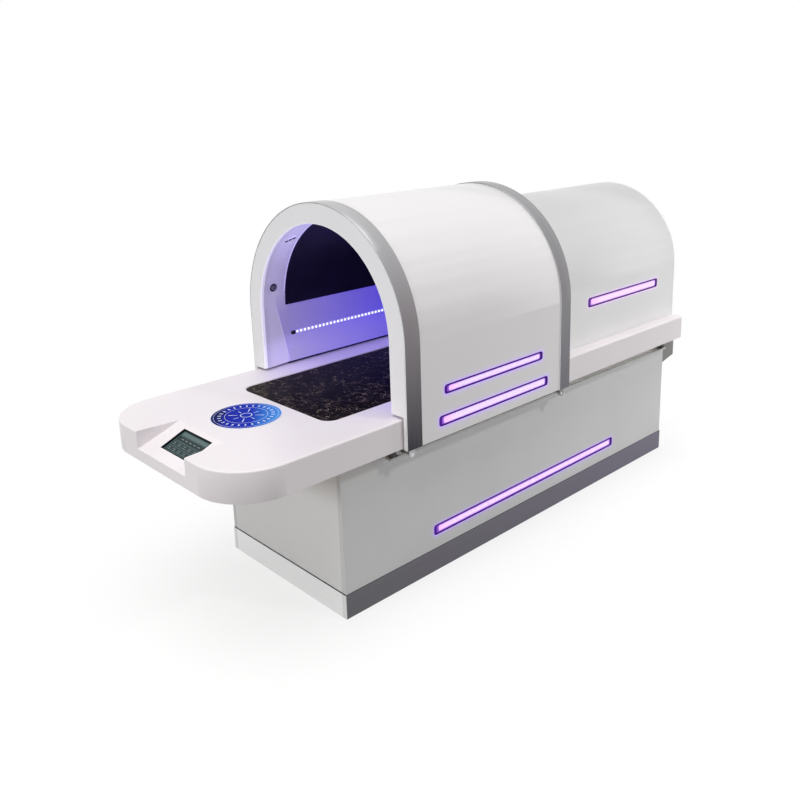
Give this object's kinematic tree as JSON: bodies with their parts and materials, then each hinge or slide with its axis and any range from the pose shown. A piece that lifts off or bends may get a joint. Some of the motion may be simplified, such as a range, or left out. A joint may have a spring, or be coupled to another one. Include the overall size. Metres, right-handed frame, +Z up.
{
  "type": "infrared sauna capsule",
  "caption": "Bed on a plinth base with a lit, heated stone deck; an arched, lined hood slides back on rollers over a fixed foot hood, with a sloped touch screen at the head.",
  "frame": {"origin": "centre of the footprint box on the floor", "axes": "+X runs from the head end with the screen to the foot end, +Y across to the left side, +Z up"},
  "size_m": [2.262, 0.7814, 1.2087],
  "materials": {
    "deck_white": "gloss gel coat",
    "hood_white": "gloss gel coat",
    "panel_grey": "grey painted board",
    "plinth_dark": "board faced with dark brushed metal",
    "plinth_light": "board faced with pale brushed metal",
    "trim_metal": "satin",
    "frame_timber": "planed",
    "hood_frame_metal": "mill",
    "rail_metal": "anodised",
    "bracket_white": "white paint",
    "steel": "turned",
    "roller_nylon": "nylon",
    "stop_rubber": "matt grey",
    "seal_black": "matt black",
    "seal_white": "pale silicone",
    "stone_black": "polished dark stone",
    "heater_black": "satin black heating panel",
    "film_dark": "heating film",
    "mat_foam": "insulation",
    "emblem_blue": "gloss disc",
    "screen_black": "black",
    "screen_face": "lit display",
    "light_lens": "lit diffuser",
    "light_bezel": "translucent violet",
    "light_board": "board",
    "box_grey": "grey paint",
    "socket_black": "black",
    "rocker_black": "black",
    "button_metal": "dark satin",
    "button_white": "gloss",
    "vent_dark": "satin"
  },
  "bodies": {
    "base": {"base_frame": "frame_timber", "base_light_bezels": "light_bezel", "base_light_boards": "light_board", "base_light_lenses": "light_lens", "box_screws": "steel", "deck_board": "frame_timber", "deck_shell": "deck_white", "emblem_disc": "emblem_blue", "end_plinths": "plinth_light", "foot_end_panel": "panel_grey", "head_end_panel": "panel_grey", "heating_film": "film_dark", "insulation_mat": "mat_foam", "left_side_panel": "panel_grey", "levelling_feet": "steel", "plate_seal": "seal_white", "power_inlet": "socket_black", "power_supply": "box_grey", "rail_stops": "stop_rubber", "rear_end_panel": "hood_white", "rear_heater_panel": "heater_black", "rear_light_bezels": "light_bezel", "rear_light_boards": "light_board", "rear_light_lenses": "light_lens", "rear_rim": "hood_white", "rear_shell": "hood_white", "right_side_panel": "panel_grey", "screen_bezel": "screen_black", "screen_glass": "screen_face", "screen_housing": "screen_black", "service_box": "box_grey", "side_plinths": "plinth_dark", "slide_rails": "rail_metal", "stone_plate": "stone_black", "switch_frame": "socket_black"},
    "front_hood": {"hood_skin": "hood_white", "front_ring": "hood_white", "rear_ring": "hood_white", "front_trim": "trim_metal", "rear_trim": "trim_metal", "hood_reveal": "hood_white", "hood_liner": "hood_white", "hood_heater_panel": "heater_black", "hood_frame": "hood_frame_metal", "hood_light_lenses": "light_lens", "hood_light_bezels": "light_bezel", "hood_light_boards": "light_board", "led_strips": "light_lens", "button_housing": "button_metal", "vent_cover": "vent_dark", "rear_seal": "seal_black", "roller_brackets": "bracket_white", "roller_axles": "steel"},
    "front_left_roller": {"front_left_roller": "roller_nylon"},
    "front_right_roller": {"front_right_roller": "roller_nylon"},
    "back_left_roller": {"back_left_roller": "roller_nylon"},
    "back_right_roller": {"back_right_roller": "roller_nylon"},
    "button": {"button_cap": "button_white"},
    "rocker": {"rocker_switch": "rocker_black"}
  },
  "joints": [
    {"name": "hood_slide", "type": "slide", "parent": "base", "child": "front_hood", "axis": [1, 0, 0], "range_m": [0, 0.75]},
    {"name": "front_left_roller_spin", "type": "hinge", "parent": "front_hood", "child": "front_left_roller", "pos_m": [-0.519, 0.318, 0.4847], "axis": [0, 1, 0], "continuous": true},
    {"name": "front_right_roller_spin", "type": "hinge", "parent": "front_hood", "child": "front_right_roller", "pos_m": [-0.519, -0.318, 0.4847], "axis": [0, 1, 0], "continuous": true},
    {"name": "back_left_roller_spin", "type": "hinge", "parent": "front_hood", "child": "back_left_roller", "pos_m": [0.214, 0.318, 0.4847], "axis": [0, 1, 0], "continuous": true},
    {"name": "back_right_roller_spin", "type": "hinge", "parent": "front_hood", "child": "back_right_roller", "pos_m": [0.214, -0.318, 0.4847], "axis": [0, 1, 0], "continuous": true},
    {"name": "button_press", "type": "slide", "parent": "front_hood", "child": "button", "axis": [0, 0.9751, 0.2215], "range_m": [0, 0.0025], "stiffness_N_per_m": 500},
    {"name": "rocker_tilt", "type": "hinge", "parent": "base", "child": "rocker", "pos_m": [1.124, -0.095, 0.44], "axis": [0, -1, 0], "range_deg": [0, 16]}
  ],
  "couplings": [
    {"joint": "front_left_roller_spin", "follows": "hood_slide", "rad_per_m": 51.546},
    {"joint": "front_right_roller_spin", "follows": "hood_slide", "rad_per_m": 51.546},
    {"joint": "back_left_roller_spin", "follows": "hood_slide", "rad_per_m": 51.546},
    {"joint": "back_right_roller_spin", "follows": "hood_slide", "rad_per_m": 51.546}
  ]
}
